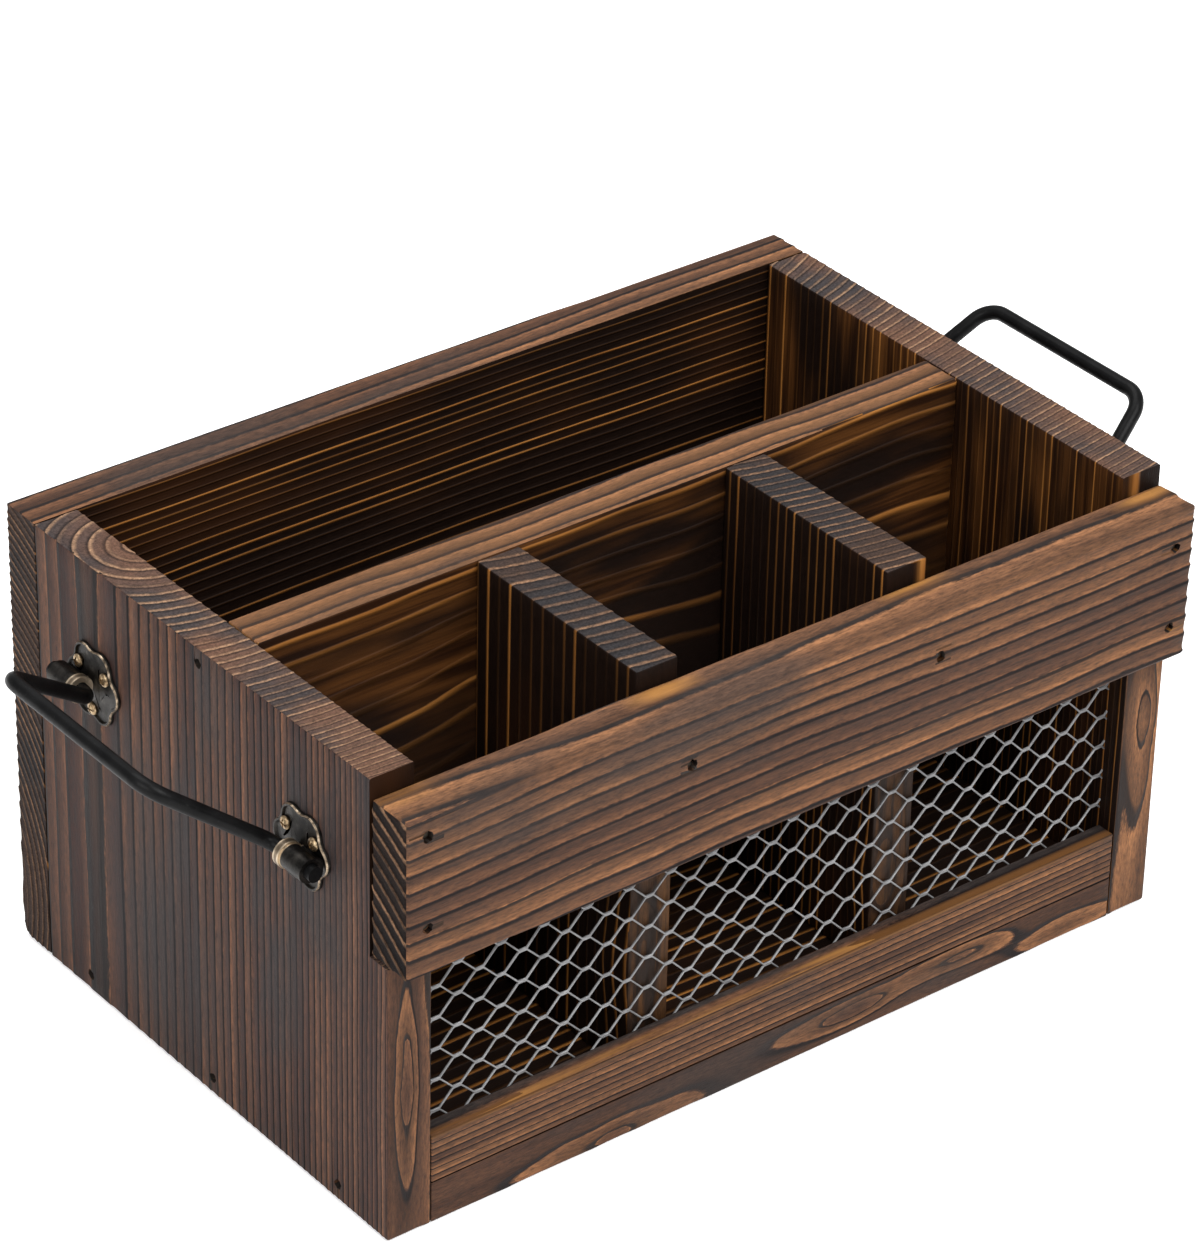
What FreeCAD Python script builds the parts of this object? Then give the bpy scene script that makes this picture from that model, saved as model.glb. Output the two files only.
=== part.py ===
import FreeCAD, Part
import math
import os

# Utensil caddy of charred softwood boards with a wire mesh window and two bail handles.
# Millimetres. X is the width, Y runs from the front to the back, Z is up.
# The origin is the middle of the caddy's footprint, on the table.

V = FreeCAD.Vector
os.makedirs("parts", exist_ok=True)

# Box of boards
width = 190.0
height = 100.0
side_depth = 114.5
side_t = 10.0
back_t = 10.0
back_easing = 3.0
floor_t = 9.3

# Dividers
divider_t = 10.0
cell_depth = 48.8
divider_offset = 30.0

# Front rail, let into notches in the side panels
rail_t = 11.0
rail_notch = 5.5
rail_height = 34.3
rail_drop = 4.0
rail_easing = 1.2
rail_lap = 3.0

# Batten on the front edge of the floor, which holds the lower edge of the mesh
batten_t = 4.5
batten_height = 10.7
batten_easing = 1.0

# Expanded metal mesh
mesh_t = 1.0
mesh_slack = 0.3
mesh_kerf = 3.0
mesh_pitch_x = 9.94
mesh_pitch_z = 7.0
mesh_knuckle = 2.2
mesh_strand = 0.95
mesh_selvedge = 1.2
mesh_phase_x = -1.0
mesh_phase_z = 4.75

# Brad nails, driven below the surface of the wood
nail_d = 1.6
nail_length = 24.0
nail_set = 1.2
nail_mouth_d = 2.2
nail_clear = 0.02

# Handle plates and their screws
plate_t = 0.9
plate_r = 7.4
petal_r = 3.4
petal_reach = 5.2
petals = 6
screw_circle_r = 5.4
screw_angles = (35.0, 145.0, 270.0)
screw_head_d = 2.8
screw_head_t = 0.7
screw_shank_d = 1.8
screw_length = 7.0
screw_clear = 0.02

# Bail handles of round wire and the sleeves that they turn in
wire_d = 3.1
bail_fit = 0.08
bail_reach = 28.0
bail_splay = 6.8
bail_root_bend = 4.0
bail_grip_bend = 5.5
bail_angle = 36.5
bail_side_play = 0.3
stub_out = 1.6
sleeve_d = 5.0
sleeve_length = 8.0
collar_d = 5.6
collar_length = 1.6
foot_width = 2.4
handle_z = 74.6
left_handle_shift = 2.95
right_handle_shift = 4.55
plate_inset = 23.05
pivot_setback = 4.0

# Places that follow from the sizes
half_w = width / 2
inner_half = half_w - side_t
rail_proud = rail_t - rail_notch
depth = rail_proud + side_depth + back_t
front = rail_proud - depth / 2
side_back = front + side_depth
rail_z1 = height - rail_drop
rail_z0 = rail_z1 - rail_height
mesh_y0 = front + batten_t
mesh_y1 = mesh_y0 + mesh_t
long_y0 = mesh_y1 + cell_depth
long_y1 = long_y0 + divider_t
batten_z1 = floor_t + batten_height
axis_out = plate_t + collar_d / 2
plate_half = side_depth / 2 - plate_inset
bail_pivot_half = plate_half - pivot_setback
left_handle_y = side_depth / 2 + left_handle_shift
right_handle_y = side_depth / 2 + right_handle_shift


def box(x0, x1, y0, y1, z0, z1):
    return Part.makeBox(x1 - x0, y1 - y0, z1 - z0, V(x0, y0, z0))


def rod(start, direction, radius, length):
    return Part.makeCylinder(radius, length, start, direction)


def eased(shape, radius, picks):
    """Rounds the edges whose middle lies at one of the picked points."""
    chosen = []
    for edge in shape.Edges:
        middle = edge.CenterOfMass
        for pick in picks:
            if (middle - pick).Length < 0.01:
                chosen.append(edge)
    return shape.makeFillet(radius, chosen)


def compound(solids):
    return Part.makeCompound(solids)


def save(name, shape):
    shape.exportStep("parts/" + name + ".step")


def nail(point, direction):
    """One brad whose hidden head lies below the surface at the point."""
    return rod(point + direction * nail_set, direction, nail_d / 2, nail_length)


def nail_hole(point, direction):
    """The hole of a brad, with the wider mouth left by the punch."""
    above = point - direction
    mouth = rod(above, direction, nail_mouth_d / 2, nail_set + 1.0)
    shank = rod(above, direction, nail_d / 2 + nail_clear, nail_set + nail_length + 1.0 + nail_clear)
    return mouth.fuse(shank)


# Nail places, each with the direction that it is driven in
to_back = V(0, 1, 0)
to_front = V(0, -1, 0)
rail_front = front - rail_proud
rail_end = half_w - side_t / 2
rail_nails = [
    (V(-rail_end, rail_front, rail_z1 - 0.13 * rail_height), to_back),
    (V(-rail_end, rail_front, rail_z1 - 0.7 * rail_height), to_back),
    (V(-divider_offset, rail_front, rail_z1 - 0.36 * rail_height), to_back),
    (V(divider_offset, rail_front, rail_z1 - 0.32 * rail_height), to_back),
    (V(rail_end, rail_front, rail_z1 - 0.24 * rail_height), to_back),
    (V(rail_end, rail_front, rail_z1 - 0.77 * rail_height), to_back),
]


def side_nails(sign):
    """Three brads into the edge of the floor and one into the long divider."""
    inward = V(-sign, 0, 0)
    face = sign * half_w
    places = [(V(face, front + share * side_depth, floor_t * 0.4), inward) for share in (0.14, 0.5, 0.87)]
    places.append((V(face, (long_y0 + long_y1) / 2, height - 3.4), inward))
    return places


back_face = side_back + back_t
back_nails = []
for sign in (-1, 1):
    for share in (0.12, 0.5, 0.88):
        back_nails.append((V(sign * rail_end, back_face, share * height), to_front))
divider_nails = []
for sign in (-1, 1):
    for share in (0.35, 0.8):
        divider_nails.append((V(sign * divider_offset, long_y1, share * height), to_front))
all_nails = rail_nails + side_nails(-1) + side_nails(1) + back_nails + divider_nails
nail_holes = compound([nail_hole(point, direction) for point, direction in all_nails])


def brads(places):
    return compound([nail(point, direction) for point, direction in places])


def handle_plates(sign):
    """Centres of the front and the rear plate on one side panel."""
    middle = left_handle_y if sign < 0 else right_handle_y
    face = sign * half_w
    return [V(face, front + middle - plate_half, handle_z), V(face, front + middle + plate_half, handle_z)]


def screw_points(centre):
    points = []
    for angle in screw_angles:
        turn = math.radians(angle)
        offset = V(0, screw_circle_r * math.cos(turn), screw_circle_r * math.sin(turn))
        points.append(centre + offset)
    return points


def plate(centre, sign):
    """Flower shaped plate with a hole for each screw."""
    out = V(sign, 0, 0)
    shape = rod(centre, out, plate_r, plate_t)
    for index in range(petals):
        turn = 2 * math.pi * index / petals
        offset = V(0, petal_reach * math.cos(turn), petal_reach * math.sin(turn))
        shape = shape.fuse(rod(centre + offset, out, petal_r, plate_t))
    shape = shape.removeSplitter()
    for point in screw_points(centre):
        shape = shape.cut(rod(point - out, out, screw_shank_d / 2 + screw_clear, plate_t + 2.0))
    return shape


def screws(centre, sign):
    """Three domed wood screws."""
    out = V(sign, 0, 0)
    solids = []
    for point in screw_points(centre):
        seat = point + out * plate_t
        head = rod(seat, out, screw_head_d / 2, screw_head_t)
        rim = [edge for edge in head.Edges if (edge.CenterOfMass - seat - out * screw_head_t).Length < 0.01]
        head = head.makeFillet(screw_head_t * 0.6, rim)
        shank = rod(seat - out * (screw_length + plate_t), out, screw_shank_d / 2, screw_length + plate_t)
        solids.append(head.fuse(shank).removeSplitter())
    return compound(solids)


def screw_holes(sign):
    out = V(sign, 0, 0)
    holes = []
    for centre in handle_plates(sign):
        for point in screw_points(centre):
            holes.append(rod(point - out * (screw_length + screw_clear), out, screw_shank_d / 2 + screw_clear,
                             screw_length + 1.0))
    return compound(holes)


# Where the straight ends of the bail start, past the bend at the foot of each arm
arm_turn = math.atan2(bail_reach, bail_splay)
root_tangent = bail_root_bend * math.tan(arm_turn / 2)
sleeve_start = bail_pivot_half + root_tangent + bail_side_play
sleeve_end = sleeve_start + sleeve_length
stub_end = sleeve_end + stub_out


def sleeve(centre, sign, outward):
    """Barrel on a foot, with a collar at the end where the wire comes in."""
    out = V(sign, 0, 0)
    run = V(0, outward, 0)
    middle = left_handle_y if sign < 0 else right_handle_y
    axis = V(centre.x, front + middle, centre.z) + out * axis_out
    start = axis + run * sleeve_start
    shape = rod(start, run, sleeve_d / 2, sleeve_length)
    shape = shape.fuse(rod(start, run, collar_d / 2, collar_length))
    y_values = sorted([start.y + outward * collar_length, start.y + outward * sleeve_length])
    x_values = sorted([centre.x + sign * plate_t, axis.x])
    foot = box(x_values[0], x_values[1], y_values[0], y_values[1],
               centre.z - foot_width / 2, centre.z + foot_width / 2)
    shape = shape.fuse(foot).removeSplitter()
    return shape.cut(rod(start - run, run, wire_d / 2 + bail_fit, sleeve_length + 2.0))


def rounded_wire(points, radii):
    """A path of straight lines with a tangent arc at each inner point."""
    edges = []
    last = points[0]
    for index in range(1, len(points) - 1):
        corner = points[index]
        before = (points[index - 1] - corner).normalize()
        after = (points[index + 1] - corner).normalize()
        inner = before.getAngle(after)
        radius = radii[index - 1]
        reach = radius / math.tan(inner / 2)
        bisector = (before + after).normalize()
        centre = corner + bisector * (radius / math.sin(inner / 2))
        start = corner + before * reach
        end = corner + after * reach
        edges.append(Part.LineSegment(last, start).toShape())
        edges.append(Part.Arc(start, centre - bisector * radius, end).toShape())
        last = end
    edges.append(Part.LineSegment(last, points[-1]).toShape())
    return Part.Wire(edges)


def bail(sign):
    """Wire handle, raised by its rest angle above the level."""
    middle = left_handle_y if sign < 0 else right_handle_y
    lift = math.radians(bail_angle)

    def place(y, reach):
        out = half_w + axis_out + reach * math.cos(lift)
        return V(sign * out, front + middle + y, handle_z + reach * math.sin(lift))

    grip_half = bail_pivot_half - bail_splay
    points = [
        place(-stub_end, 0),
        place(-bail_pivot_half, 0),
        place(-grip_half, bail_reach),
        place(grip_half, bail_reach),
        place(bail_pivot_half, 0),
        place(stub_end, 0),
    ]
    path = rounded_wire(points, [bail_root_bend, bail_grip_bend, bail_grip_bend, bail_root_bend])
    section = Part.Wire([Part.makeCircle(wire_d / 2, points[0], V(0, 1, 0))])
    return path.makePipeShell([section], True, True)


def side_panel(sign):
    """Side board with the notch for the rail, the kerf for the mesh, and the holes."""
    x_values = sorted([sign * inner_half, sign * half_w])
    shape = box(x_values[0], x_values[1], front, side_back, 0, height)
    shape = shape.cut(box(x_values[0] - 1, x_values[1] + 1, front - 1, front + rail_notch, rail_z0, height + 1))
    kerf_x = sorted([sign * (inner_half - 1), sign * (inner_half + mesh_kerf)])
    shape = shape.cut(box(kerf_x[0], kerf_x[1], mesh_y0, mesh_y1, floor_t, rail_z0 + rail_lap))
    return shape.cut(nail_holes).cut(screw_holes(sign))


def mesh():
    """Expanded metal sheet as one holed face, made thick."""
    half = inner_half + mesh_kerf - mesh_slack
    z0 = floor_t
    z1 = rail_z0 + rail_lap - mesh_slack
    outline = Part.makePolygon([V(-half, mesh_y0, z0), V(half, mesh_y0, z0), V(half, mesh_y0, z1),
                                V(-half, mesh_y0, z1), V(-half, mesh_y0, z0)])
    step_x = mesh_pitch_x / 2 - mesh_knuckle
    step_z = mesh_pitch_z / 2
    slope = math.hypot(step_x, step_z)
    inset = mesh_strand / 2
    tall = step_z - inset
    reach = (step_x + mesh_knuckle / 2) * step_z / slope - inset
    wide = reach * slope / step_z
    flat = (reach * slope - step_x * tall) / step_z
    corners = [(-flat, -tall), (flat, -tall), (wide, 0), (flat, tall), (-flat, tall), (-wide, 0)]
    first_z = batten_z1 - mesh_pitch_z + mesh_phase_z
    wires = [outline]
    columns = int(half / mesh_pitch_x) + 1
    rows = int((z1 - first_z) / step_z) + 1
    for row in range(rows):
        centre_z = first_z + row * step_z
        if centre_z + tall > z1 - mesh_selvedge:
            continue
        for column in range(-columns, columns + 1):
            centre_x = mesh_phase_x + (column + 0.5 * (row % 2)) * mesh_pitch_x
            if abs(centre_x) + wide > half - mesh_selvedge:
                continue
            points = [V(centre_x + x, mesh_y0, centre_z + z) for x, z in corners]
            wires.append(Part.makePolygon(points + points[:1]))
    face = Part.Face(wires[0])
    holes = [Part.Face(wire) for wire in wires[1:]]
    solid = face.extrude(V(0, mesh_t, 0))
    return solid.cut(compound([hole.extrude(V(0, mesh_t, 0)) for hole in holes]))


# Boards
save("left_side_panel", side_panel(-1))
save("right_side_panel", side_panel(1))
back = box(-half_w, half_w, side_back, back_face, 0, height)
back = eased(back, back_easing, [V(0, back_face, 0)])
save("back_panel", back.cut(nail_holes))
floor = box(-inner_half, inner_half, front, side_back, 0, floor_t)
save("floor_board", floor.cut(nail_holes))
save("long_divider", box(-inner_half, inner_half, long_y0, long_y1, floor_t, height).cut(nail_holes))
for name, sign in (("left_short_divider", -1), ("right_short_divider", 1)):
    middle = sign * divider_offset
    board = box(middle - divider_t / 2, middle + divider_t / 2, mesh_y1, long_y0, floor_t, height)
    save(name, board.cut(nail_holes))
rail = box(-half_w, half_w, rail_front, front + rail_notch, rail_z0, rail_z1)
rail = eased(rail, rail_easing, [V(0, rail_front, rail_z0), V(0, rail_front, rail_z1)])
rail = rail.cut(box(-inner_half - mesh_kerf, inner_half + mesh_kerf, mesh_y0, front + rail_notch + 1,
                    rail_z0 - 1, rail_z0 + rail_lap))
save("front_rail", rail.cut(nail_holes))
batten = box(-inner_half, inner_half, front, mesh_y0, floor_t, batten_z1)
save("bottom_batten", eased(batten, batten_easing, [V(0, front, batten_z1)]))
save("mesh_panel", mesh())

# Nails
save("rail_nails", brads(rail_nails))
save("left_side_nails", brads(side_nails(-1)))
save("right_side_nails", brads(side_nails(1)))
save("back_nails", brads(back_nails))
save("divider_nails", brads(divider_nails))

# Handles
for side, sign in (("left", -1), ("right", 1)):
    for end, outward, centre in zip(("front", "rear"), (-1, 1), handle_plates(sign)):
        save(side + "_" + end + "_plate", plate(centre, sign))
        save(side + "_" + end + "_screws", screws(centre, sign))
        save(side + "_" + end + "_sleeve", sleeve(centre, sign, outward))
    save(side + "_bail", bail(sign))
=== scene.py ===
import bpy
import math
import random
from mathutils import Matrix, Vector, noise


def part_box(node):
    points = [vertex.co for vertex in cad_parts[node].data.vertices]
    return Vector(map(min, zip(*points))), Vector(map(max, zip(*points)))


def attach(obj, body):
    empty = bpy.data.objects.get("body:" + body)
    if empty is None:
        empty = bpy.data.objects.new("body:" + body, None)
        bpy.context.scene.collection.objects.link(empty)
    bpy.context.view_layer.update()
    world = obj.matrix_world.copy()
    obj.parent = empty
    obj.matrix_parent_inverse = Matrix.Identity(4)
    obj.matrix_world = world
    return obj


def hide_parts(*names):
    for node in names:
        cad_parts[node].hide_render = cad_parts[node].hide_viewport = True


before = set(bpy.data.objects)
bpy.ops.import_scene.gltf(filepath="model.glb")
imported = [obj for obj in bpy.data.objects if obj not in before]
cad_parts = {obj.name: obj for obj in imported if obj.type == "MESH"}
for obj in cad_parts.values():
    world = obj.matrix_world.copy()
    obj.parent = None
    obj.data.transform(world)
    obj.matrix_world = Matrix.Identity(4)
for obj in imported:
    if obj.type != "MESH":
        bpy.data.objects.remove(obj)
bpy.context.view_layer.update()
MM = 0.001
CADDY = "caddy"
X, Y, Z = 0, 1, 2

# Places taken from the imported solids
SIDE_LOW, SIDE_HIGH = [Vector(corner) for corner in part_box("left_side_panel")]
RAIL_LOW, RAIL_HIGH = [Vector(corner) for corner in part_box("front_rail")]
MESH_LOW, MESH_HIGH = [Vector(corner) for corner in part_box("mesh_panel")]
FRONT = SIDE_LOW.y
NOTCH_BACK = RAIL_HIGH.y
INNER_HALF = -SIDE_HIGH.x


# Shader maths

class Socket:
    """A shader value; an expression on it adds Math nodes."""

    def __init__(self, finish, link):
        self.finish = finish
        self.link = link

    def math(self, operation, *values):
        return self.finish.node("ShaderNodeMath", {"operation": operation}, dict(enumerate(values)))

    def __add__(self, other):
        return self.math("ADD", self, other)

    __radd__ = __add__

    def __mul__(self, other):
        return self.math("MULTIPLY", self, other)

    __rmul__ = __mul__

    def __sub__(self, other):
        return self.math("SUBTRACT", self, other)

    def __rsub__(self, other):
        return self.math("SUBTRACT", other, self)

    def fract(self):
        return self.math("FRACT", self)

    def floor(self):
        return self.math("FLOOR", self)

    def absolute(self):
        return self.math("ABSOLUTE", self)

    def span(self, low, high, to_low=0.0, to_high=1.0):
        """Smooth change from one value to another between low and high."""
        return self.finish.node("ShaderNodeMapRange", {"interpolation_type": "SMOOTHSTEP"},
                                {0: self, 1: low, 2: high, 3: to_low, 4: to_high})


class Finish:
    """A material under construction."""

    def __init__(self, name, **constants):
        self.material = bpy.data.materials.new(name)
        self.material.use_nodes = True
        self.tree = self.material.node_tree
        self.shader = self.tree.nodes["Principled BSDF"]
        for socket, value in constants.items():
            self.shader.inputs[socket.replace("_", " ")].default_value = value

    def node(self, kind, settings=None, inputs=None, output=0):
        made = self.tree.nodes.new(kind)
        for key, value in (settings or {}).items():
            if key == "stops":
                self.stops(made.color_ramp, value)
            else:
                setattr(made, key, value)
        for key, value in (inputs or {}).items():
            self.feed(made.inputs[key], value)
        return Socket(self, made.outputs[output])

    def stops(self, ramp, stops):
        while len(ramp.elements) < len(stops):
            ramp.elements.new(0.5)
        for element, (position, colour) in zip(ramp.elements, stops):
            element.position = position
            element.color = (*colour, 1.0)

    def feed(self, socket, value):
        if isinstance(value, Socket):
            self.tree.links.new(value.link, socket)
        elif isinstance(value, tuple) and len(value) == 3 and socket.type == "RGBA":
            socket.default_value = (*value, 1.0)
        else:
            socket.default_value = value

    def set(self, **links):
        for name, value in links.items():
            self.feed(self.shader.inputs[name.replace("_", " ")], value)

    def attribute(self, name, output="Fac"):
        return self.node("ShaderNodeAttribute", {"attribute_name": name}, None, output)

    def place(self):
        return self.node("ShaderNodeTexCoord", None, None, "Object")

    def stretch(self, vector, scale):
        return self.node("ShaderNodeMapping", None, {"Vector": vector, "Scale": scale})

    def noise(self, vector, scale, detail=3.0, roughness=0.55):
        return self.node("ShaderNodeTexNoise", None,
                         {"Vector": vector, "Scale": scale, "Detail": detail, "Roughness": roughness})

    def ramp(self, value, stops):
        return self.node("ShaderNodeValToRGB", {"stops": stops}, {0: value})

    def mix(self, factor, first, second, blend="MIX"):
        return self.node("ShaderNodeMix", {"data_type": "RGBA", "blend_type": blend, "clamp_factor": True},
                         {0: factor, 6: first, 7: second}, 2)

    def bump(self, height, strength, distance):
        return self.node("ShaderNodeBump", None,
                         {"Height": height, "Strength": strength, "Distance": distance})


# Finishes

def wood_base(name, roughness, specular):
    """Growth rings, fibres and patches that all the wood finishes share."""
    finish = Finish(name, Roughness=roughness, Specular_IOR_Level=specular)
    grain = finish.attribute("grain", "Vector")
    fibre = finish.noise(finish.stretch(grain, (2100.0, 2100.0, 420.0)), 1.0, 4.0, 0.7)
    streak = finish.noise(finish.stretch(grain, (420.0, 420.0, 16.0)), 1.0, 3.0, 0.6)
    patch = finish.noise(finish.stretch(grain, (40.0, 40.0, 14.0)), 1.0, 3.0, 0.55)
    rings = finish.attribute("rings") + (streak - 0.5) * 0.14
    within = rings.fract()
    year = finish.node("ShaderNodeTexWhiteNoise", {"noise_dimensions": "1D"}, {"W": rings.floor()})
    return finish, within, year, fibre, streak, patch


def tint(finish, colour, value, low, high):
    """Multiplies a colour by a shade that follows a value."""
    return finish.mix(1.0, colour, finish.ramp(value, [(0.3, low), (0.7, high)]), "MULTIPLY")


AMBER_LIGHT = (0.36, 0.165, 0.045)
AMBER_DEEP = (0.14, 0.058, 0.016)


def brushed_face(name, light, middle, groove, smoke_and_shade_colour, smoky):
    """Torched face brushed back to brown, with a dark groove after each ring."""
    finish, within, year, fibre, streak, patch = wood_base(name, 0.65, 0.18)
    colour = finish.ramp(within + (fibre - 0.5) * 0.1, [
        (0.0, light),
        (0.4, middle),
        (0.76, [0.72 * value for value in middle]),
        (0.85, groove),
        (0.95, groove),
        (1.0, light),
    ])
    colour = tint(finish, colour, year, (0.66, 0.6, 0.62), (1.32, 1.18, 1.02))
    colour = tint(finish, colour, streak, (0.62, 0.6, 0.63), (1.36, 1.3, 1.18))
    # Below-zero toast mixes in the smoke colour: burn on the left panel's outer face, and painted shade
    # behind the amber front of the batten's top.
    soot_and_painted_shade = (0.0 - finish.attribute("toast")).span(0.0, 1.0) * streak.span(0.25, 0.6, 0.45, 1.0)
    colour = finish.mix(patch.span(0.5, 0.68) * smoky, colour, smoke_and_shade_colour)
    colour = finish.mix(soot_and_painted_shade, colour, smoke_and_shade_colour)
    colour = tint(finish, colour, fibre, (0.4, 0.4, 0.42), (1.62, 1.58, 1.5))
    toast = finish.attribute("toast") * streak.span(0.7, 0.45)
    amber = finish.mix(within.span(0.5, 0.85), AMBER_LIGHT, AMBER_DEEP)
    colour = finish.mix(toast, colour, amber)
    height = within.span(0.95, 0.78) * (0.6 + year * 0.4) + fibre * 0.4
    finish.set(Base_Color=colour, Roughness=fibre.span(0.2, 0.8, 0.55, 0.78),
               Normal=finish.bump(height, 0.7, 0.0005))
    return finish.material


def brushed_end(name, char, brown, tan, share):
    """End grain: dark char with the late wood brushed to thin tan ridges."""
    finish, within, year, fibre, streak, patch = wood_base(name, 0.75, 0.07)
    late = within.span(0.6, 0.84) * within.span(1.0, 0.93)
    base = finish.mix(patch.span(0.35, 0.65), char, brown)
    shown = late * year.span(0.0, 0.8, 0.25, 1.0) * streak.span(0.3, 0.6, 0.35, 1.0) * share
    colour = finish.mix(shown, base, tan)
    colour = finish.mix(within.span(0.25, 0.0) * 0.7, colour, (0.012, 0.01, 0.01))
    colour = tint(finish, colour, fibre, (0.5, 0.5, 0.5), (1.5, 1.47, 1.42))
    height = late + fibre * 0.4
    finish.set(Base_Color=colour, Normal=finish.bump(height, 0.7, 0.0005))
    return finish.material


def charred_face():
    """Inner face left black, with the ridges showing amber."""
    finish, within, year, fibre, streak, patch = wood_base("charred_black_wood", 0.6, 0.08)
    late = within.span(0.66, 0.86) * within.span(0.99, 0.9)
    amber = finish.mix(streak, (0.16, 0.045, 0.008), (0.6, 0.26, 0.06))
    char = finish.mix(fibre, (0.002, 0.0015, 0.0013), (0.016, 0.007, 0.004))
    char = finish.mix(patch.span(0.5, 0.75) * 0.7, char, (0.034, 0.012, 0.004))
    warm = finish.mix(streak.span(0.35, 0.65), (0.022, 0.007, 0.002), (0.115, 0.042, 0.01))
    char = finish.mix(finish.attribute("toast") * patch.span(0.38, 0.58), char, warm)
    shown = late * year.span(0.2, 0.8, 0.05, 1.0) * patch.span(0.3, 0.6, 0.3, 1.0)
    colour = finish.mix(shown, char, amber)
    height = late + fibre * 0.3
    finish.set(Base_Color=colour, Roughness=fibre.span(0.2, 0.8, 0.5, 0.7),
               Normal=finish.bump(height, 0.6, 0.0005))
    return finish.material


def amber_face():
    """Toasted edge that the torch barely reached."""
    finish, within, year, fibre, streak, patch = wood_base("toasted_amber_wood", 0.6, 0.15)
    late = within.span(0.5, 0.84) * within.span(1.0, 0.94)
    amber = finish.mix(patch.span(0.3, 0.55), AMBER_DEEP, (0.055, 0.024, 0.009))
    colour = finish.mix(late * 0.85, amber, (0.016, 0.008, 0.005))
    colour = finish.mix(streak.span(0.44, 0.6) * 0.9, colour, (0.012, 0.007, 0.005))
    colour = finish.mix(year.span(0.72, 0.8) * within.span(0.5, 0.35) * 0.7, colour, AMBER_LIGHT)
    colour = tint(finish, colour, fibre, (0.6, 0.6, 0.6), (1.3, 1.28, 1.24))
    finish.set(Base_Color=colour, Normal=finish.bump(late + fibre * 0.4, 0.5, 0.0004))
    return finish.material


def nail_pit_painted_shade():
    """Bruised wood round a driven nail, painted near black as the shade inside the hole."""
    finish = Finish("nail_pit_painted_shade", Roughness=0.8)
    speck = finish.noise(finish.place(), 1800.0, 3.0, 0.6)
    finish.set(Base_Color=finish.ramp(speck, [(0.35, (0.006, 0.004, 0.003)), (0.6, (0.02, 0.011, 0.006)),
                                              (0.75, (0.12, 0.06, 0.02))]))
    return finish.material


def nail_steel():
    finish = Finish("dark_nail_steel", Metallic=0.8, Roughness=0.5)
    speck = finish.noise(finish.place(), 900.0)
    finish.set(Base_Color=finish.ramp(speck, [(0.3, (0.02, 0.017, 0.015)), (0.7, (0.09, 0.07, 0.05))]))
    return finish.material


def mesh_metal():
    """Satin expanded steel, a little uneven where it was slit and pulled."""
    finish = Finish("satin_mesh_metal", Metallic=0.45)
    place = finish.place()
    cloud = finish.noise(place, 240.0, 2.0)
    speck = finish.noise(place, 2400.0, 3.0, 0.65)
    colour = finish.ramp(cloud, [(0.3, (0.19, 0.19, 0.195)), (0.7, (0.3, 0.3, 0.305))])
    colour = finish.mix(speck.span(0.55, 0.75) * 0.4, colour, (0.16, 0.16, 0.16))
    finish.set(Base_Color=colour, Roughness=speck.span(0.2, 0.8, 0.45, 0.6),
               Normal=finish.bump(speck, 0.25, 0.0001))
    return finish.material


def black_wire():
    """Satin black coated wire."""
    finish = Finish("satin_black_wire", Specular_IOR_Level=0.08, Coat_Roughness=0.25)
    place = finish.place()
    speck = finish.noise(place, 1600.0, 3.0, 0.6)
    cloud = finish.noise(place, 130.0, 2.0)
    colour = finish.ramp(cloud, [(0.35, (0.0025, 0.0025, 0.0027)), (0.65, (0.006, 0.006, 0.0062))])
    colour = finish.mix(speck.span(0.62, 0.72) * 0.2, colour, (0.04, 0.04, 0.04))
    finish.set(Base_Color=colour, Roughness=speck.span(0.2, 0.8, 0.34, 0.5), Coat_Weight=cloud * 0.1,
               Normal=finish.bump(speck, 0.2, 0.0001))
    return finish.material


def bronze_face():
    """Antiqued bronze, nearly black, brushed grey in scattered patches."""
    finish = Finish("antique_bronze", Metallic=0.9)
    place = finish.place()
    cloud = finish.noise(place, 420.0, 3.0, 0.6)
    speck = finish.noise(place, 3000.0, 3.0, 0.65)
    colour = finish.ramp(cloud, [(0.35, (0.012, 0.011, 0.01)), (0.6, (0.035, 0.032, 0.029)),
                                 (0.78, (0.11, 0.1, 0.09))])
    finish.set(Base_Color=colour, Roughness=speck.span(0.2, 0.8, 0.3, 0.55),
               Normal=finish.bump(speck, 0.3, 0.0001))
    return finish.material


def brass_rim():
    """Edge worn through to bright brass."""
    finish = Finish("worn_brass_rim", Metallic=0.9)
    place = finish.place()
    cloud = finish.noise(place, 900.0, 3.0, 0.6)
    colour = finish.ramp(cloud, [(0.35, (0.07, 0.055, 0.04)), (0.52, (0.34, 0.26, 0.18)),
                                 (0.7, (0.6, 0.48, 0.35))])
    finish.set(Base_Color=colour, Roughness=cloud.span(0.2, 0.8, 0.45, 0.3))
    return finish.material


def screw_brass():
    """Small antiqued brass screw, dark in its slots."""
    finish = Finish("antique_brass_screw", Metallic=0.9)
    place = finish.place()
    cloud = finish.noise(place, 1500.0, 3.0, 0.6)
    colour = finish.ramp(cloud, [(0.32, (0.09, 0.06, 0.035)), (0.5, (0.36, 0.25, 0.14)),
                                 (0.7, (0.62, 0.48, 0.3))])
    finish.set(Base_Color=colour, Roughness=cloud.span(0.2, 0.8, 0.42, 0.26))
    return finish.material


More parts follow.
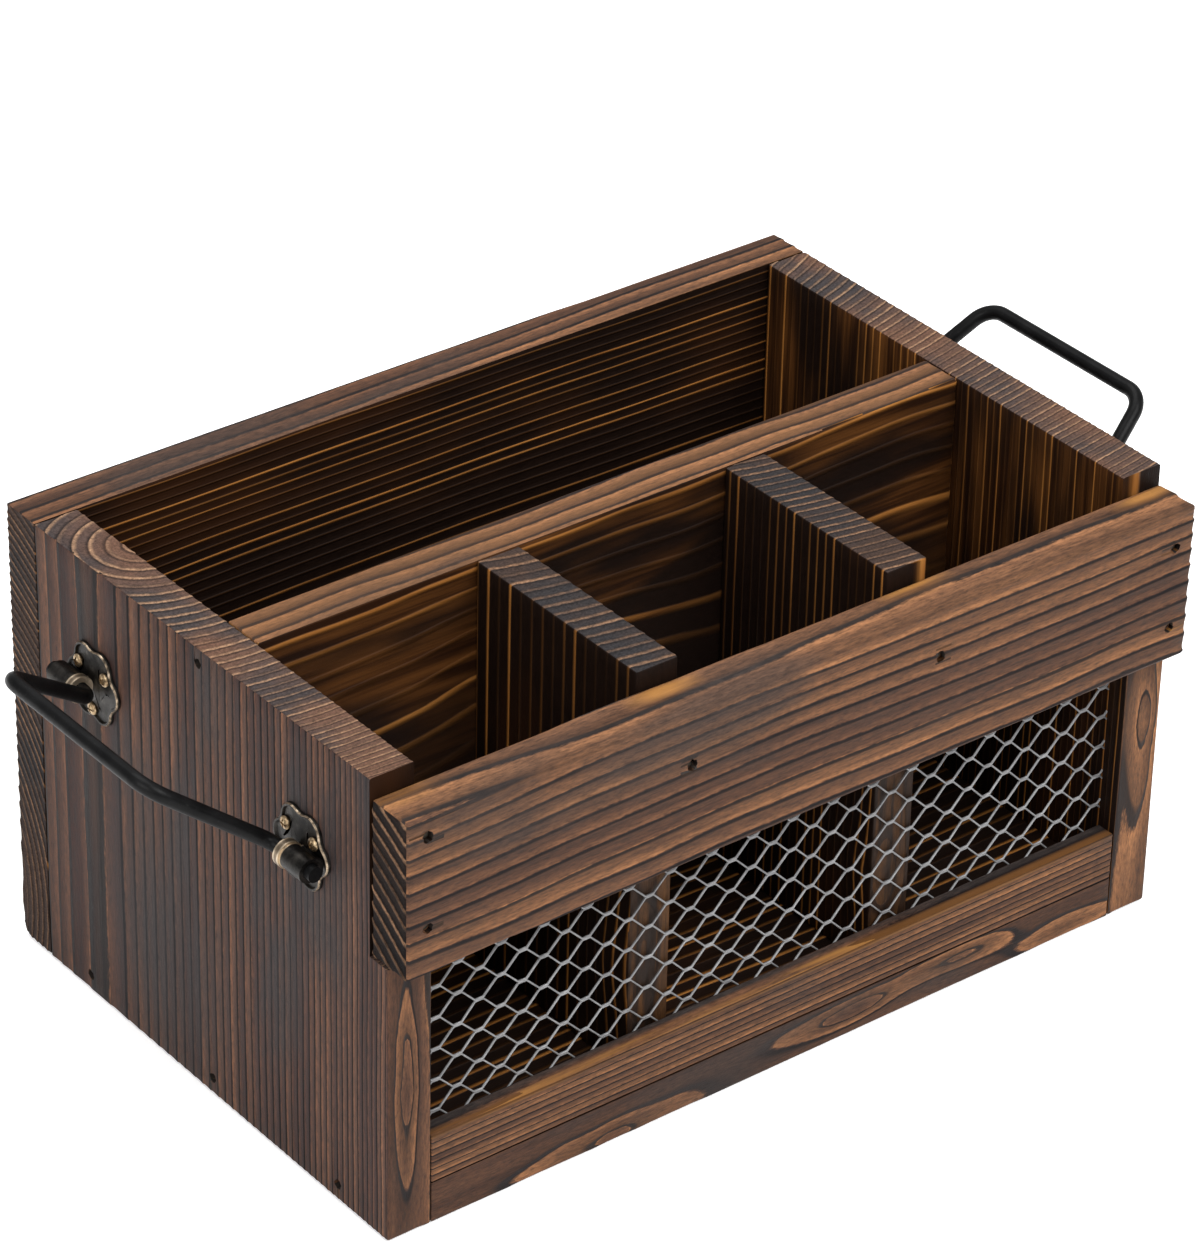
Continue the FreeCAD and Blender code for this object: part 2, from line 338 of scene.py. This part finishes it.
def sleeve_bronze(name, middle, start):
    """Bronze barrel with a lighter collar and bright brass at the collar's two edges."""
    finish = Finish(name, Metallic=0.9)
    place = finish.place()
    speck = finish.noise(place, 2600.0, 3.0, 0.65)
    cloud = finish.noise(place, 500.0, 3.0, 0.6)
    along = finish.node("ShaderNodeSeparateXYZ", None, {0: place}, Y)
    out = (along - middle).absolute() - start
    dark = finish.ramp(cloud, [(0.35, (0.012, 0.011, 0.01)), (0.7, (0.05, 0.045, 0.04))])
    collar = finish.ramp(cloud, [(0.35, (0.11, 0.085, 0.06)), (0.65, (0.26, 0.2, 0.14))])
    colour = finish.mix(out.span(0.0018, 0.0014), dark, collar)
    rim = out.span(0.0006, 0.0001) + (out - 0.0016).absolute().span(0.0005, 0.0002)
    colour = finish.mix(rim * cloud.span(0.3, 0.5, 0.55, 1.0), colour, (0.62, 0.5, 0.36))
    finish.set(Base_Color=colour, Roughness=speck.span(0.2, 0.8, 0.3, 0.5),
               Normal=finish.bump(speck, 0.25, 0.0001))
    return finish.material


# Modelling by hand

def deselect():
    if bpy.context.object and bpy.context.object.mode != "OBJECT":
        bpy.ops.object.mode_set(mode="OBJECT")
    bpy.ops.object.select_all(action="DESELECT")


def settle(piece, name):
    """Puts the place of a piece into its mesh."""
    piece.name = name
    piece.data.name = name
    bpy.ops.object.transform_apply(location=True, rotation=True, scale=True)
    return piece


def block(name, low, high):
    deselect()
    size = high - low
    bpy.ops.mesh.primitive_cube_add(size=1.0, location=(low + high) / 2)
    piece = bpy.context.object
    piece.scale = size
    return settle(piece, name)


def select_edges(piece, chosen):
    """Selects in edit mode the edges for which chosen(start, end) holds."""
    bpy.ops.object.mode_set(mode="EDIT")
    bpy.ops.mesh.select_mode(type="EDGE")
    bpy.ops.mesh.select_all(action="DESELECT")
    bpy.ops.object.mode_set(mode="OBJECT")
    points = piece.data.vertices
    for edge in piece.data.edges:
        start, end = [points[index].co for index in edge.vertices]
        edge.select = chosen(start, end)
    bpy.ops.object.mode_set(mode="EDIT")


def along_axis(axis, shortest):
    def chosen(start, end):
        step = end - start
        return abs(step[axis]) > 0.999 * step.length and step.length > shortest
    return chosen


def divide(piece, axis, step, length):
    """Cuts a board into even slices across one axis."""
    slices = max(2, round(length / step))
    first = math.ceil(math.sqrt(slices))
    for parts in (first, math.ceil(slices / first)):
        if parts > 1:
            select_edges(piece, along_axis(axis, step * 0.9))
            bpy.ops.mesh.subdivide(number_cuts=parts - 1, smoothness=0.0)
            bpy.ops.object.mode_set(mode="OBJECT")


def carve(piece, cutters):
    """Cuts the joined cutters out of a piece."""
    deselect()
    for cutter in cutters:
        cutter.select_set(True)
    bpy.context.view_layer.objects.active = cutters[0]
    if len(cutters) > 1:
        bpy.ops.object.join()
    cutter = cutters[0]
    deselect()
    piece.select_set(True)
    bpy.context.view_layer.objects.active = piece
    cut = piece.modifiers.new("cut", "BOOLEAN")
    cut.operation = "DIFFERENCE"
    cut.solver = "EXACT"
    cut.object = cutter
    bpy.ops.object.modifier_apply(modifier=cut.name)
    bpy.data.objects.remove(cutter)


def pit(point, axis, radius, depth, seed):
    """Cutter for the ragged hole over a driven nail."""
    deselect()
    turn = {X: (0, math.pi / 2, 0), Y: (math.pi / 2, 0, 0)}[axis]
    bpy.ops.mesh.primitive_cylinder_add(vertices=14, radius=radius, depth=depth * 2, location=point,
                                        rotation=turn)
    piece = settle(bpy.context.object, "pit")
    dice = random.Random(seed)
    for vertex in piece.data.vertices:
        away = vertex.co - Vector(point)
        away[axis] = 0.0
        vertex.co += away * dice.uniform(-0.12, 0.3)
    return piece


class Tree:
    """The rings of the log that a board was sawn from."""

    def __init__(self, grain, pith, spacing, tighten=0.0, wander=0.8, reach=1.0, seed=0, eyes=()):
        self.grain = grain
        self.across = [axis for axis in (X, Y, Z) if axis != grain]
        self.pith = [value * MM for value in pith]
        self.spacing = spacing * MM
        self.tighten = tighten
        self.wander = wander * MM
        self.reach = reach
        self.seed = seed
        self.eyes = eyes

    def eye(self, point):
        """Rings added round the oval figures that a knot near the surface leaves."""
        total = 0.0
        for centre, spread, turns in self.eyes:
            away = [(point[axis] / MM - centre[axis]) / spread[axis] for axis in (X, Y, Z)]
            total += turns * math.exp(-sum(value * value for value in away))
        return total * (1.0 + 0.55 * noise.noise(self.coordinates(point) * 90))

    def coordinates(self, point):
        first, second = self.across
        return Vector((point[first] + self.seed * 0.37, point[second] + self.seed * 0.19,
                       point[self.grain] + self.seed * 0.53))

    def rings(self, point):
        first, second = self.across
        spot = self.coordinates(point)
        slow = Vector((spot.x * 14, spot.y * 14, spot.z * 16 * self.reach))
        quick = Vector((spot.x * 60, spot.y * 60, spot.z * 50 * self.reach))
        drift = noise.noise(slow) * self.wander + noise.noise(quick) * self.wander * 0.25
        radius = math.hypot(point[first] - self.pith[0], point[second] - self.pith[1]) + drift
        radius = max(radius, 0.0)
        if self.tighten:
            count = -math.log(max(1 - self.tighten * radius / self.spacing, 0.02)) / self.tighten
        else:
            count = radius / self.spacing
        return count + self.eye(point)


def ridge(rings):
    """Height of the brushed surface within one ring, from 0 to 1."""
    within = rings % 1.0
    if within < 0.9:
        return (within / 0.9) ** 2.2
    return (1.0 - within) / 0.1


def weather(piece, tree, depth, toasted):
    """Brushes the soft wood out from between the rings and keeps the rings for the finish."""
    mesh = piece.data
    for name, kind in (("rings", "FLOAT"), ("grain", "FLOAT_VECTOR"), ("toast", "FLOAT")):
        mesh.attributes.new(name, kind, "POINT")
    rings, grain, toast = [mesh.attributes[name] for name in ("rings", "grain", "toast")]
    moved = []
    for vertex in mesh.vertices:
        value = tree.rings(vertex.co)
        rings.data[vertex.index].value = value
        grain.data[vertex.index].vector = tree.coordinates(vertex.co)
        toast.data[vertex.index].value = toasted(vertex.co)
        rough = noise.noise(vertex.co * 900) * 0.12 + 0.12
        moved.append(vertex.co - vertex.normal * depth * (1.0 - ridge(value) + rough))
    for vertex, place in zip(mesh.vertices, moved):
        vertex.co = place


def board(node, tree, zone, cutters=(), depth=0.14, easing=0.5, extra=None, step=0.55, toasted=None):
    """One board: a block with eased edges, finely divided, brushed along its rings."""
    low, high = [Vector(corner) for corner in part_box(node)]
    piece = block(node + "_wood", low, high)
    if extra:
        extra(piece, low, high)
    select_edges(piece, lambda start, end: True)
    bpy.ops.mesh.bevel(offset=easing * MM, segments=2, affect="EDGES")
    bpy.ops.object.mode_set(mode="OBJECT")
    size = high - low
    for axis in (X, Y, Z):
        divide(piece, axis, 4.0 * MM if axis == tree.grain else step * MM, size[axis])
    pits = [pit(*cutter) for cutter in cutters]
    notch = None
    if node.endswith("side_panel"):
        notch = block("notch", Vector((low.x - 0.001, FRONT - 0.001, RAIL_LOW.z)),
                      Vector((high.x + 0.001, NOTCH_BACK, high.z + 0.001)))
    if pits or notch:
        carve(piece, pits + ([notch] if notch else []))
    weather(piece, tree, depth * MM, toasted or no_toast)
    for material in WOOD:
        piece.data.materials.append(material)
    holes = [(Vector(point), radius * 1.45) for point, axis, radius, length, seed in cutters]
    for face in piece.data.polygons:
        face.material_index = zone(face.center, face.normal)
        for point, radius in holes:
            # Faces inside a nail hole take the pit finish, which paints the hole's shade near black.
            if (face.center - point).length < radius and face.area < 4e-6:
                away = face.center - point
                if max(abs(value) for value in away) < radius and abs(away.dot(face.normal)) > 0.25 * MM:
                    face.material_index = PIT
            elif (face.center - point).length < radius * 1.5 and noise.noise(face.center * 700) > 0.12:
                face.material_index = AMBER
    deselect()
    piece.select_set(True)
    bpy.context.view_layer.objects.active = piece
    bpy.ops.object.shade_smooth_by_angle(angle=math.radians(50))
    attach(piece, CADDY)
    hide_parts(node)
    return piece


# Finishes of the boards, by face
FACE, TAN, END, BUTT, BURNT, CHAR, AMBER, PIT = range(8)
WOOD = [
    brushed_face("smoked_brown_wood", (0.125, 0.068, 0.047), (0.066, 0.04, 0.035), (0.011, 0.01, 0.012),
                 (0.031, 0.029, 0.031), 0.75),
    # The tan wood's smoke colour also paints the shade at the back of the batten's top.
    brushed_face("tan_brown_wood", (0.195, 0.104, 0.058), (0.108, 0.059, 0.036), (0.017, 0.013, 0.013),
                 (0.037, 0.029, 0.027), 0.6),
    brushed_end("brushed_top_end", (0.045, 0.04, 0.042), (0.13, 0.07, 0.048), (0.38, 0.23, 0.14), 0.8),
    brushed_end("brushed_board_end", (0.03, 0.028, 0.03), (0.052, 0.034, 0.028), (0.3, 0.17, 0.1), 0.75),
    brushed_end("charred_rail_end", (0.008, 0.006, 0.006), (0.018, 0.011, 0.009), (0.3, 0.17, 0.1), 0.85),
    charred_face(),
    amber_face(),
    nail_pit_painted_shade(),
]


def side_zone(sign):
    def zone(centre, normal):
        if normal.x * sign > 0.5:
            return FACE
        if normal.x * sign < -0.5:
            return CHAR
        if abs(normal.z) > 0.5:
            return END
        return TAN if centre.z < RAIL_LOW.z else CHAR
    return zone


def back_zone(centre, normal):
    if abs(normal.x) > 0.5:
        return BUTT
    if normal.z > 0.5:
        return TAN
    return CHAR if normal.y < -0.5 else FACE


def floor_zone(centre, normal):
    return CHAR if normal.z > 0.5 else TAN


def long_zone(centre, normal):
    return CHAR if abs(normal.y) > 0.5 else TAN


def short_zone(centre, normal):
    if abs(normal.z) > 0.5:
        return BUTT
    return AMBER if normal.y < -0.5 and centre.z < RAIL_LOW.z else CHAR


def rail_zone(centre, normal):
    if abs(normal.x) > 0.5:
        return BURNT
    return CHAR if normal.y > 0.5 else TAN


def batten_zone(centre, normal):
    return CHAR if normal.y > 0.5 else TAN


def batten_amber_and_painted_shade(point):
    """Amber along the front of the batten's top, with painted shade on the top behind it."""
    low, high = [Vector(corner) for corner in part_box("bottom_batten")]
    below = (high.z - point.z) / (1.1 * MM)
    behind = (point.y - low.y) / (1.0 * MM)
    return max(0.0, 1.0 - below) * max(-1.0, min(1.0, 2.6 - 1.1 * behind))


def rail_toast(point):
    """Amber on the rail's top where the ends of the boards behind it kept the flame away."""
    nearest = min(abs(abs(point.x) - place) for place in (RAIL_END, DIVIDER))
    beside = max(0.0, 1.0 - nearest / (9.0 * MM))
    behind = max(0.0, min(1.0, (point.y - RAIL_LOW.y - 5.5 * MM) / (3.0 * MM)))
    return min(1.0, 1.6 * beside * behind) if point.z > RAIL_HIGH.z - 1.2 * MM else 0.0


def inner_warm_by_height(point):
    """Warm brown high on the inner faces, stronger towards the top, and a little on the tops."""
    if abs(point.x) > INNER_HALF + 2.0 * MM or point.y < FRONT + 1.0 * MM:
        return 0.0
    if point.z > SIDE_HIGH.z - 0.2 * MM:
        return 0.15
    return max(0.0, min(0.85, (point.z - 42.0 * MM) / (44.0 * MM)))


def left_soot(point):
    """Below zero where the outer face was burnt longest, low behind its middle."""
    if point.x > SIDE_LOW.x + 1.0 * MM:
        return 0.0
    along = (point.y - 13.0 * MM) / (19.0 * MM)
    up = (point.z - 26.0 * MM) / (30.0 * MM)
    return -0.9 * math.exp(-along * along - up * up)


def no_toast(point):
    return 0.0


RAIL_SPAN = RAIL_HIGH.z - RAIL_LOW.z
RAIL_END = 90.0 * MM
DIVIDER = 30.0 * MM
PIT_R = 0.9 * MM
PIT_DEPTH = 1.25 * MM


def rail_pits():
    places = [(-RAIL_END, 0.13), (-RAIL_END, 0.7), (-DIVIDER, 0.36), (DIVIDER, 0.32), (RAIL_END, 0.24),
              (RAIL_END, 0.77)]
    return [((x, RAIL_LOW.y, RAIL_HIGH.z - drop * RAIL_SPAN), Y, PIT_R, PIT_DEPTH, index)
            for index, (x, drop) in enumerate(places)]


def side_pits(face):
    depth = SIDE_HIGH.y - FRONT
    floor_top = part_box("floor_board")[1][2]
    places = [(FRONT + share * depth, 0.4 * floor_top) for share in (0.14, 0.5, 0.87)]
    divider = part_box("long_divider")
    places.append(((divider[0][1] + divider[1][1]) / 2, SIDE_HIGH.z - 3.4 * MM))
    return [((face, y, z), X, PIT_R, PIT_DEPTH, index + 20) for index, (y, z) in enumerate(places)]


def back_pits():
    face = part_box("back_panel")[1][1]
    return [((sign * RAIL_END, face, share * SIDE_HIGH.z), Y, PIT_R, PIT_DEPTH, index + 40)
            for index, (sign, share) in enumerate([(s, v) for s in (-1, 1) for v in (0.12, 0.5, 0.88)])]


def divider_pits():
    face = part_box("long_divider")[1][1]
    return [((sign * DIVIDER, face, share * SIDE_HIGH.z), Y, PIT_R, PIT_DEPTH, index + 60)
            for index, (sign, share) in enumerate([(s, v) for s in (-1, 1) for v in (0.35, 0.8)])]


def round_back(piece, low, high):
    """Rounds the lower back edge of the back panel."""
    def chosen(start, end):
        return all(abs(point.y - high.y) < 1e-5 and abs(point.z - low.z) < 1e-5 for point in (start, end))
    select_edges(piece, chosen)
    bpy.ops.mesh.bevel(offset=3.0 * MM, segments=5, affect="EDGES")
    bpy.ops.object.mode_set(mode="OBJECT")


def boards():
    left_eye = ((-90.5, -59.5, 34.0), (2.6, 6.0, 27.0), 2.0)
    board("left_side_panel", Tree(Z, (-83.0, 37.0), 3.3, 0.02, 0.8, 0.7, 1, [left_eye]), side_zone(-1),
          side_pits(SIDE_LOW.x), toasted=left_soot)
    right_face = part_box("right_side_panel")[1][0]
    right_eye = ((91.0, -59.5, 42.0), (3.0, 6.0, 20.0), -1.6)
    board("right_side_panel", Tree(Z, (70.0, 95.0), 2.6, 0.006, 0.8, 0.6, 2, [right_eye]), side_zone(1),
          side_pits(right_face), toasted=inner_warm_by_height)
    board("back_panel", Tree(X, (105.0, 10.0), 2.1, 0.004, 1.2, 0.5, 3), back_zone, back_pits(),
          extra=round_back, depth=0.22)
    floor_eyes = [((-46.0, -58.0, 1.0), (20.0, 8.0, 3.4), 1.5), ((15.0, -58.0, 5.0), (14.0, 8.0, 2.4), 1.6),
                  ((41.0, -58.0, 6.5), (17.0, 8.0, 2.6), 1.9), ((74.0, -58.0, 2.0), (15.0, 8.0, 3.0), 1.2)]
    board("floor_board", Tree(X, (160.0, 6.0), 3.4, 0.0, 1.6, 1.0, 4, floor_eyes), floor_zone, step=0.6,
          easing=0.3)
    board("long_divider", Tree(X, (62.0, 40.0), 2.9, 0.0, 2.0, 1.2, 5), long_zone, divider_pits(), step=0.7,
          toasted=inner_warm_by_height)
    left_front = ((-31.0, -48.5, 34.0), (3.4, 8.0, 13.0), 2.4)
    board("left_short_divider", Tree(Z, (-14.0, 48.0), 3.5, 0.004, 0.9, 0.6, 6, [left_front]), short_zone)
    right_front = ((29.0, -48.5, 30.0), (3.4, 8.0, 11.0), 2.2)
    board("right_short_divider", Tree(Z, (46.0, 52.0), 2.6, 0.003, 0.8, 0.6, 7, [right_front]), short_zone)
    board("front_rail", Tree(X, (-14.5, 11.0), 3.0, 0.0, 2.0, 0.8, 8), rail_zone, rail_pits(), easing=0.9,
          toasted=rail_toast, depth=0.3)
    board("bottom_batten", Tree(X, (-57.0, -70.0), 1.5, 0.0, 0.5, 0.4, 9), batten_zone, easing=0.35, step=0.4,
          toasted=batten_amber_and_painted_shade)


# Expanded metal mesh

PITCH_X = 9.94 * MM
PITCH_Z = 7.0 * MM
KNUCKLE = 1.8 * MM
STRAND = 0.56 * MM
MIDDLE_KNUCKLE = -1.0 * MM
LOWEST_ROW = 17.75 * MM


def strand(name, start, up):
    """One pulled strand: a flat knuckle, a slope, a knuckle and the slope back."""
    deselect()
    bpy.ops.mesh.primitive_circle_add(vertices=8, radius=0.5, fill_type="NOTHING", location=start,
                                      rotation=(0, math.pi / 2, 0))
    piece = bpy.context.object
    piece.scale = (STRAND, STRAND, 1.0)
    settle(piece, name)
    bpy.ops.object.mode_set(mode="EDIT")
    bpy.ops.mesh.select_all(action="SELECT")
    slope = PITCH_X / 2 - KNUCKLE
    rise = up * (PITCH_Z / 2 - STRAND * 0.42)
    for step in ((KNUCKLE, 0.0), (slope, rise), (KNUCKLE, 0.0), (slope, -rise)):
        bpy.ops.mesh.extrude_region_move(TRANSFORM_OT_translate={"value": (step[0], 0.0, step[1])})
    bpy.ops.object.mode_set(mode="OBJECT")
    return piece


def mesh_panel():
    """Rows of strands that meet at their knuckles, trimmed to the sheet."""
    middle = (MESH_LOW.y + MESH_HIGH.y) / 2
    columns = 20
    left = MIDDLE_KNUCKLE - PITCH_X * columns / 2 - KNUCKLE / 2
    first = LOWEST_ROW - PITCH_Z / 2 - PITCH_Z
    rows = []
    count = int((MESH_HIGH.z - first) / (PITCH_Z / 2)) + 1
    for row in range(count):
        up = 1 if row % 2 == 0 else -1
        level = first + (row if up > 0 else row + 1) * PITCH_Z / 2 + up * STRAND * 0.21
        piece = strand("strand", Vector((left, middle, level)), up)
        repeat = piece.modifiers.new("repeat", "ARRAY")
        repeat.count = columns
        repeat.use_relative_offset = False
        repeat.use_constant_offset = True
        repeat.constant_offset_displace = (PITCH_X, 0.0, 0.0)
        repeat.use_merge_vertices = True
        repeat.merge_threshold = 1e-5
        bpy.ops.object.modifier_apply(modifier=repeat.name)
        rows.append(piece)
    deselect()
    for piece in rows:
        piece.select_set(True)
    bpy.context.view_layer.objects.active = rows[0]
    bpy.ops.object.join()
    piece = rows[0]
    for point, normal in (((MESH_LOW.x, 0, 0), (-1, 0, 0)), ((MESH_HIGH.x, 0, 0), (1, 0, 0)),
                          ((0, 0, MESH_LOW.z), (0, 0, -1)), ((0, 0, MESH_HIGH.z), (0, 0, 1))):
        bpy.ops.object.mode_set(mode="EDIT")
        bpy.ops.mesh.select_all(action="SELECT")
        bpy.ops.mesh.bisect(plane_co=point, plane_no=normal, clear_outer=True, use_fill=False)
        bpy.ops.object.mode_set(mode="OBJECT")
    for vertex in piece.data.vertices:
        vertex.co.y += noise.noise(vertex.co * 160) * 0.12 * MM
        vertex.co.z += noise.noise(vertex.co * 220 + Vector((3, 1, 2))) * 0.12 * MM
        vertex.co.y = min(max(vertex.co.y, MESH_LOW.y), MESH_HIGH.y)
    piece.name = "expanded_metal"
    piece.data.name = "expanded_metal"
    bpy.ops.object.mode_set(mode="EDIT")
    bpy.ops.mesh.select_all(action="SELECT")
    bpy.ops.mesh.normals_make_consistent(inside=False)
    bpy.ops.object.mode_set(mode="OBJECT")
    bpy.ops.object.shade_smooth_by_angle(angle=math.radians(50))
    piece.data.materials.append(mesh_metal())
    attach(piece, CADDY)
    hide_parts("mesh_panel")


# Handle hardware

PLATE_R = 7.4 * MM
PETAL_R = 3.4 * MM
PETAL_REACH = 5.2 * MM
SCREW_RING = 5.4 * MM


def petal_radius(turn):
    """Outline of the flower shaped plate."""
    nearest = turn - round(turn / (math.pi / 3)) * math.pi / 3
    inside = PETAL_R ** 2 - (PETAL_REACH * math.sin(nearest)) ** 2
    petal = PETAL_REACH * math.cos(nearest) + math.sqrt(inside) if inside > 0 else 0.0
    return max(PLATE_R, petal)


def plate(node, sign, bronze, brass):
    """Pressed plate with a bead along its petals, a domed middle and a worn rim."""
    low, high = [Vector(corner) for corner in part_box(node)]
    centre = (low + high) / 2
    face = low.x if sign > 0 else high.x
    thick = high.x - low.x
    deselect()
    bpy.ops.mesh.primitive_circle_add(vertices=96, radius=PLATE_R, fill_type="NGON",
                                      location=(face, centre.y, centre.z),
                                      rotation=(0, sign * math.pi / 2, 0))
    piece = settle(bpy.context.object, node + "_pressed")
    for vertex in piece.data.vertices:
        away = Vector((vertex.co.y - centre.y, vertex.co.z - centre.z))
        scale = petal_radius(math.atan2(away.y, away.x)) / away.length
        vertex.co.y = centre.y + away.x * scale
        vertex.co.z = centre.z + away.y * scale
    bpy.ops.object.mode_set(mode="EDIT")
    bpy.ops.mesh.select_all(action="SELECT")

    def out(share):
        return {"value": (sign * thick * share, 0.0, 0.0)}

    bpy.ops.mesh.extrude_region_move(TRANSFORM_OT_translate=out(0.62))
    bpy.ops.mesh.inset(thickness=0.22 * MM, depth=0.0)
    bpy.ops.transform.translate(value=(sign * thick * 0.38, 0, 0))
    bpy.ops.mesh.inset(thickness=0.32 * MM, depth=0.0)
    bpy.ops.mesh.inset(thickness=0.3 * MM, depth=0.0)
    bpy.ops.transform.translate(value=(-sign * thick * 0.5, 0, 0))
    bpy.ops.mesh.inset(thickness=1.6 * MM, depth=0.0)
    bpy.ops.transform.translate(value=(sign * thick * 0.12, 0, 0))
    bpy.ops.mesh.inset(thickness=1.2 * MM, depth=0.0)
    bpy.ops.transform.translate(value=(sign * thick * 0.3, 0, 0))
    bpy.ops.object.mode_set(mode="OBJECT")
    piece.data.materials.append(bronze)
    piece.data.materials.append(brass)
    for polygon in piece.data.polygons:
        level = abs(polygon.center.x - face) / thick
        away = Vector((polygon.center.y - centre.y, polygon.center.z - centre.z))
        edge = petal_radius(math.atan2(away.y, away.x)) - away.length
        if edge < 0.2 * MM and abs(polygon.normal.x) > 0.3:
            polygon.material_index = 1
    bpy.ops.object.mode_set(mode="EDIT")
    bpy.ops.mesh.select_all(action="SELECT")
    bpy.ops.mesh.normals_make_consistent(inside=False)
    bpy.ops.object.mode_set(mode="OBJECT")
    bpy.ops.object.shade_smooth_by_angle(angle=math.radians(35))
    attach(piece, CADDY)
    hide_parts(node)


def screw_heads(node, plate_node, sign, brass):
    """Three domed heads, each with a cross cut into it."""
    low, high = [Vector(corner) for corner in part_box(plate_node)]
    centre = (low + high) / 2
    seat = high.x if sign > 0 else low.x
    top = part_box(node)[1][0] if sign > 0 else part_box(node)[0][0]
    head = abs(top - seat)
    heads = []
    for index, angle in enumerate((35, 145, 270)):
        turn = math.radians(angle)
        spot = Vector((seat, centre.y + SCREW_RING * math.cos(turn), centre.z + SCREW_RING * math.sin(turn)))
        deselect()
        bpy.ops.mesh.primitive_uv_sphere_add(segments=28, ring_count=16, radius=1.4 * MM, location=spot)
        piece = bpy.context.object
        piece.scale = (head / (1.4 * MM), 1.0, 1.0)
        settle(piece, "head")
        cuts = []
        for quarter in (0, 1):
            deselect()
            bpy.ops.mesh.primitive_cube_add(size=1.0, location=spot + Vector((sign * head, 0, 0)),
                                            rotation=(quarter * math.pi / 2 + index * 0.7, 0, 0))
            slot = bpy.context.object
            slot.scale = (head * 0.9, 1.75 * MM, 0.42 * MM)
            cuts.append(settle(slot, "slot"))
        for cut in cuts:
            carve(piece, [cut])
        heads.append(piece)
    deselect()
    for piece in heads:
        piece.select_set(True)
    bpy.context.view_layer.objects.active = heads[0]
    bpy.ops.object.join()
    piece = heads[0]
    piece.name = node + "_heads"
    piece.data.name = piece.name
    bpy.ops.object.shade_smooth_by_angle(angle=math.radians(40))
    piece.data.materials.clear()
    piece.data.materials.append(brass)
    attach(piece, CADDY)
    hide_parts(node)


def dress(node, material):
    """Gives a solid from the frame its finish."""
    mesh = bpy.data.objects[node].data
    mesh.materials.clear()
    mesh.materials.append(material)


def handles():
    bronze = bronze_face()
    rim = brass_rim()
    brass = screw_brass()
    wire = black_wire()
    for side, sign in (("left", -1), ("right", 1)):
        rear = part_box(side + "_rear_sleeve")
        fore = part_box(side + "_front_sleeve")
        middle = (rear[0][1] + fore[1][1]) / 2
        start = (rear[0][1] - fore[1][1]) / 2
        barrel = sleeve_bronze(side + "_sleeve_bronze", middle, start)
        for end in ("front", "rear"):
            name = side + "_" + end
            plate(name + "_plate", sign, bronze, rim)
            screw_heads(name + "_screws", name + "_plate", sign, brass)
            dress(name + "_sleeve", barrel)
        dress(side + "_bail", wire)


# Stage

def stage():
    """Pale floor that shows white to the camera and keeps the shadow."""
    deselect()
    bpy.ops.mesh.primitive_plane_add(size=12.0, location=(0, 0, -0.0002))
    floor = bpy.context.object
    floor.name = "floor"
    finish = Finish("pale_floor", Roughness=0.9)
    path = finish.node("ShaderNodeLightPath", None, None, "Is Camera Ray")
    glossy = finish.node("ShaderNodeLightPath", None, None, "Is Glossy Ray")
    seen = finish.node("ShaderNodeMath", {"operation": "MAXIMUM"}, {0: path, 1: glossy})
    finish.set(Base_Color=finish.mix(seen, (0.75, 0.75, 0.75), (1.0, 1.0, 1.0)))
    white = finish.node("ShaderNodeEmission", None, {"Color": (1.0, 1.0, 1.0), "Strength": 0.35})
    matt = Socket(finish, finish.shader.outputs[0])
    both = finish.node("ShaderNodeAddShader", None, {0: matt, 1: white})
    pick = finish.node("ShaderNodeMixShader", None, {0: seen, 1: matt, 2: both})
    finish.tree.links.new(pick.link, finish.tree.nodes["Material Output"].inputs["Surface"])
    floor.data.materials.append(finish.material)
    world = bpy.data.worlds.new("studio")
    bpy.context.scene.world = world
    world.use_nodes = True
    tree = world.node_tree
    back = tree.nodes["Background"]
    light = tree.nodes.new("ShaderNodeLightPath")
    strength = tree.nodes.new("ShaderNodeMix")
    strength.inputs[2].default_value = 0.45
    strength.inputs[3].default_value = 1.0
    tree.links.new(light.outputs["Is Camera Ray"], strength.inputs[0])
    tree.links.new(strength.outputs[0], back.inputs["Strength"])
    back.inputs["Color"].default_value = (1.0, 1.0, 1.0, 1.0)


def lamp(name, place, target, size, watts):
    data = bpy.data.lights.new(name, "AREA")
    data.shape = "SQUARE"
    data.size = size
    data.energy = watts
    made = bpy.data.objects.new(name, data)
    bpy.context.collection.objects.link(made)
    made.location = place
    made.rotation_euler = (Vector(target) - Vector(place)).to_track_quat("-Z", "Y").to_euler()


def camera():
    """Camera at the photograph's place, angle and lens."""
    turn, tilt, roll = [math.radians(value) for value in (-38.489, 31.715, 1.33)]
    back = Vector((math.sin(turn) * math.cos(tilt), -math.cos(turn) * math.cos(tilt), math.sin(tilt)))
    right = (-back).cross(Vector((0, 0, 1))).normalized()
    up = right.cross(-back)
    across = math.cos(roll) * right + math.sin(roll) * up
    upright = -math.sin(roll) * right + math.cos(roll) * up
    data = bpy.data.cameras.new("camera")
    data.sensor_width = 36.0
    data.lens = 5498.0 * 36.0 / 1246.0
    made = bpy.data.objects.new("camera", data)
    bpy.context.collection.objects.link(made)
    turned = Matrix((across, upright, back)).transposed().to_4x4()
    made.matrix_world = Matrix.Translation((-0.56821, -0.65409 + FRONT, 0.63457)) @ turned
    bpy.context.scene.camera = made


boards()
mesh_panel()
handles()
steel = nail_steel()
for nails in ("rail_nails", "left_side_nails", "right_side_nails", "back_nails", "divider_nails"):
    dress(nails, steel)
stage()
lamp("key", (0.25, -0.9, 1.1), (0, 0, 0.05), 0.9, 16.0)
lamp("fill", (-1.1, -0.35, 0.75), (0, 0, 0.05), 0.9, 8.0)
lamp("top", (0.1, 0.35, 1.3), (0, 0, 0.05), 1.0, 10.0)
camera()
bpy.context.scene.view_settings.view_transform = "Standard"
